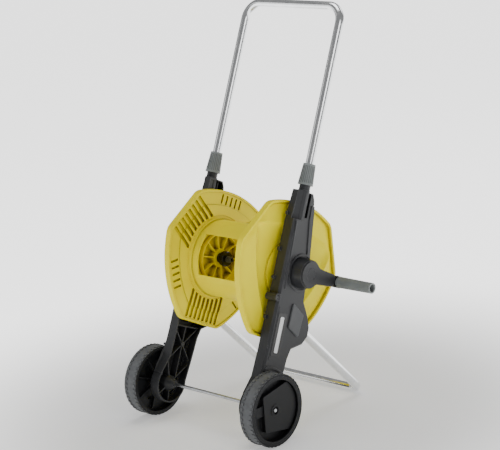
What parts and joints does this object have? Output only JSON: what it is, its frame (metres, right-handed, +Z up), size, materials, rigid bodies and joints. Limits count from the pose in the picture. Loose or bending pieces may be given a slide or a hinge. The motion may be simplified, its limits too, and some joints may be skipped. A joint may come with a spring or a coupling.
{
  "type": "garden hose reel cart",
  "caption": "Wheeled cart with a crank-turned hose drum between two leaning side frames, a telescopic handle and a bent stand.",
  "frame": {"origin": "middle of the cart's plan outline, on the ground", "axes": "+X across the cart towards the crank, +Y back towards the stand and the top of the handle, +Z up"},
  "size_m": [0.472, 0.4472, 0.8866],
  "materials": {
    "dark_plastic": "satin",
    "black_plastic": "gloss",
    "grey_plastic": "matte",
    "pale_strip": "satin",
    "yellow_plastic": "satin",
    "bush_plastic": "satin",
    "tread": "matte",
    "bright_tube": "polished",
    "zinc_steel": "zinc plated",
    "seal_rubber": "matte"
  },
  "bodies": {
    "frame": {"frame_right": "dark_plastic", "frame_left": "dark_plastic", "hip_plate_right": "grey_plastic", "hip_plate_left": "grey_plastic", "badge_right": "black_plastic", "badge_left": "black_plastic", "badge_strip_right": "pale_strip", "badge_strip_left": "pale_strip", "frame_screws": "zinc_steel", "axle_rod": "zinc_steel", "axle_push_nuts": "zinc_steel", "axle_washers": "zinc_steel", "stand_tube": "bright_tube", "collet_right": "dark_plastic", "collet_left": "dark_plastic", "drum_bush_right": "bush_plastic", "drum_bush_left": "bush_plastic"},
    "handle": {"handle_tube": "bright_tube", "handle_plug_right": "dark_plastic", "handle_plug_left": "dark_plastic"},
    "collar_r": {"collar_right": "grey_plastic"},
    "collar_l": {"collar_left": "grey_plastic"},
    "wheel_r": {"wheel_right": "dark_plastic", "tyre_right": "tread"},
    "wheel_l": {"wheel_left": "dark_plastic", "tyre_left": "tread"},
    "drum": {"drum_flange_right": "yellow_plastic", "drum_flange_left": "yellow_plastic", "drum_barrel": "yellow_plastic", "drum_screws": "zinc_steel", "inlet_tube": "bush_plastic", "inlet_seals": "seal_rubber", "hose_nut": "black_plastic", "hose_tail": "grey_plastic", "crank_arm": "dark_plastic", "crank_cap": "black_plastic", "crank_screw": "zinc_steel", "crank_knuckle": "dark_plastic", "grip_spindle": "zinc_steel"},
    "grip": {"grip_sleeve": "grey_plastic"},
    "inlet": {"inlet_elbow": "dark_plastic", "inlet_nipple": "grey_plastic"}
  },
  "joints": [
    {"name": "handle_slide", "type": "slide", "parent": "frame", "child": "handle", "axis": [0, 0.4067, 0.9135], "range_m": [-0.22, 0]},
    {"name": "collar_right_turn", "type": "hinge", "parent": "frame", "child": "collar_r", "pos_m": [0.098, 0.05381, 0.51719], "axis": [0, 0.4067, 0.9135], "range_deg": [0, 90]},
    {"name": "collar_left_turn", "type": "hinge", "parent": "frame", "child": "collar_l", "pos_m": [-0.18, 0.05381, 0.51719], "axis": [0, 0.4067, 0.9135], "range_deg": [0, 90]},
    {"name": "wheel_right_spin", "type": "hinge", "parent": "frame", "child": "wheel_r", "pos_m": [0.1185, -0.14457, 0.079], "axis": [1, 0, 0], "continuous": true},
    {"name": "wheel_left_spin", "type": "hinge", "parent": "frame", "child": "wheel_l", "pos_m": [-0.2005, -0.14457, 0.079], "axis": [1, 0, 0], "continuous": true},
    {"name": "drum_spin", "type": "hinge", "parent": "frame", "child": "drum", "pos_m": [-0.041, 0.00597, 0.33599], "axis": [1, 0, 0], "continuous": true},
    {"name": "grip_spin", "type": "hinge", "parent": "drum", "child": "grip", "pos_m": [0.142, 0.09026, 0.29668], "axis": [1, 0, 0], "continuous": true},
    {"name": "inlet_swivel", "type": "hinge", "parent": "drum", "child": "inlet", "pos_m": [-0.211, 0.00597, 0.33599], "axis": [1, 0, 0], "continuous": true}
  ]
}
